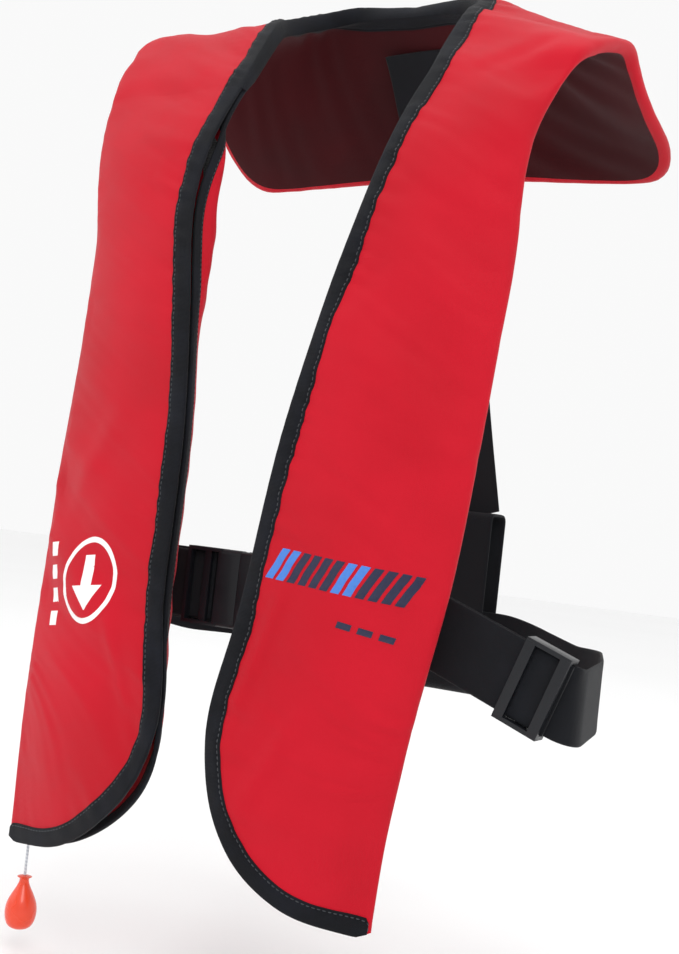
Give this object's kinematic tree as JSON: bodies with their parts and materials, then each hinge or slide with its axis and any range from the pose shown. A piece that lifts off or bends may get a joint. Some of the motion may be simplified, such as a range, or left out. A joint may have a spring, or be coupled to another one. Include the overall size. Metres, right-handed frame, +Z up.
{
  "type": "inflatable life jacket",
  "caption": "Horseshoe inflatable life jacket with a red cover, bound edges, folded bladder, gas inflator with pull toggle, back strap and buckled waist belt.",
  "frame": {"origin": "middle of the neck opening, on the line over both shoulders", "axes": "+Z up, -Y the way the wearer faces, +X to the wearer's left"},
  "size_m": [0.4277, 0.281, 0.6826],
  "materials": {
    "cover_red": "coated woven polyester, soft sheen",
    "lining_red": "coated woven polyester, inner face",
    "binding_black": "folded woven binding tape",
    "webbing_black": "woven harness webbing",
    "tape_black": "hook and loop tape",
    "bladder_yellow": "coated airtight nylon, folded",
    "reflective": "retroreflective film",
    "plastic_black": "moulded acetal, satin",
    "inflator_grey": "moulded glass-filled nylon",
    "cap_yellow": "moulded cap",
    "toggle_orange": "soft moulded grip",
    "line_grey": "clear braided line",
    "steel": "bright spring and pin steel",
    "gas_steel": "zinc plated cylinder",
    "rubber": "moulded washer",
    "cartridge_white": "pressed dissolving cartridge",
    "tube_clear": "moulded tube",
    "whistle_orange": "moulded whistle"
  },
  "bodies": {
    "jacket": {"cover_rear_left": "cover_red", "rear_binding_left": "binding_black", "loop_tape_left": "tape_black", "reflective_panel_left": "reflective", "belt_loop_left": "webbing_black", "cover_rear_right": "cover_red", "rear_binding_right": "binding_black", "loop_tape_right": "tape_black", "reflective_panel_right": "reflective", "belt_loop_right": "webbing_black", "bladder_left": "bladder_yellow", "bladder_right": "bladder_yellow", "bladder_collar": "bladder_yellow", "cover_yoke": "cover_red", "yoke_lining": "lining_red", "neck_binding": "binding_black", "lifting_becket": "webbing_black", "whistle": "whistle_orange", "inflator_body": "inflator_grey", "lever_pin": "steel", "return_spring": "steel", "manifold_stem": "steel", "stem_washer_rear": "rubber", "stem_washer_front": "rubber", "cap_nut": "inflator_grey", "cartridge": "cartridge_white", "oral_tube": "tube_clear", "valve_seat": "plastic_black", "valve_spring": "steel", "back_strap": "webbing_black", "strap_loop": "webbing_black", "waist_belt": "webbing_black", "socket_webbing": "webbing_black", "belt_backing": "binding_black", "web_keeper": "webbing_black", "buckle_socket": "plastic_black"},
    "flap_left": {"front_flap_left": "cover_red", "flap_binding_left": "binding_black", "hook_tape_left": "tape_black"},
    "flap_right": {"front_flap_right": "cover_red", "flap_binding_right": "binding_black", "hook_tape_right": "tape_black"},
    "plug": {"buckle_plug": "plastic_black", "plug_webbing": "webbing_black"},
    "prong_upper": {"buckle_prong_upper": "plastic_black"},
    "prong_lower": {"buckle_prong_lower": "plastic_black"},
    "slider": {"belt_slider": "plastic_black"},
    "lever": {"manual_lever": "toggle_orange"},
    "pin": {"piercing_pin": "steel"},
    "cylinder": {"gas_cylinder": "gas_steel"},
    "cap": {"cartridge_cap": "cap_yellow"},
    "toggle": {"pull_toggle": "toggle_orange", "pull_line": "line_grey"},
    "plunger": {"valve_plunger": "toggle_orange"},
    "dust_cover": {"dust_cap": "plastic_black"}
  },
  "joints": [
    {"name": "flap_left_open", "type": "hinge", "parent": "jacket", "child": "flap_left", "pos_m": [0.152, -0.08546, -0.072], "axis": [0.0715, 0.0845, 0.9939], "range_deg": [0, 100]},
    {"name": "flap_right_open", "type": "hinge", "parent": "jacket", "child": "flap_right", "pos_m": [-0.138, -0.08311, -0.072], "axis": [0.0113, -0.0773, -0.9969], "range_deg": [0, 100]},
    {"name": "toggle_pull", "type": "slide", "parent": "jacket", "child": "toggle", "axis": [0, 0, -1], "range_m": [0, 0.018]},
    {"name": "lever_swing", "type": "hinge", "parent": "jacket", "child": "lever", "pos_m": [-0.114, -0.1005, -0.488], "axis": [0, -1, 0], "range_deg": [0, 55.5]},
    {"name": "pin_stroke", "type": "slide", "parent": "jacket", "child": "pin", "axis": [0, 0, 1], "range_m": [0, 0.0051], "deforming": ["return_spring"]},
    {"name": "cylinder_unscrew", "type": "hinge", "parent": "jacket", "child": "cylinder", "pos_m": [-0.097, -0.1005, -0.42], "axis": [0, 0, 1], "continuous": true},
    {"name": "cap_unscrew", "type": "hinge", "parent": "jacket", "child": "cap", "pos_m": [-0.097, -0.1005, -0.52], "axis": [0, 0, 1], "continuous": true},
    {"name": "buckle_release", "type": "slide", "parent": "jacket", "child": "plug", "axis": [-1, 0, 0], "range_m": [0, 0.03]},
    {"name": "prong_upper_press", "type": "hinge", "parent": "plug", "child": "prong_upper", "pos_m": [-0.0022, -0.075, -0.396], "axis": [0, 1, 0], "range_deg": [0, 5], "stiffness_Nm_per_rad": 0.1, "springref_deg": -1.15},
    {"name": "prong_lower_press", "type": "hinge", "parent": "plug", "child": "prong_lower", "pos_m": [-0.0022, -0.075, -0.428], "axis": [0, -1, 0], "range_deg": [0, 5], "stiffness_Nm_per_rad": 0.1, "springref_deg": -1.15},
    {"name": "slider_adjust", "type": "slide", "parent": "jacket", "child": "slider", "axis": [-0.9409, 0, 0.3387], "range_m": [0, 0.024]},
    {"name": "oral_valve_press", "type": "slide", "parent": "jacket", "child": "plunger", "axis": [0, 0, -1], "range_m": [0, 0.003], "stiffness_N_per_m": 250, "springref_m": -0.001, "deforming": ["valve_spring"]},
    {"name": "dust_cap_lift", "type": "slide", "parent": "jacket", "child": "dust_cover", "axis": [0, 0, 1], "range_m": [0, 0.016]}
  ],
  "couplings": [
    {"joint": "lever_swing", "follows": "toggle_pull", "rad_per_m": 53.33},
    {"joint": "pin_stroke", "follows": "toggle_pull", "ratio": 0.2778}
  ]
}
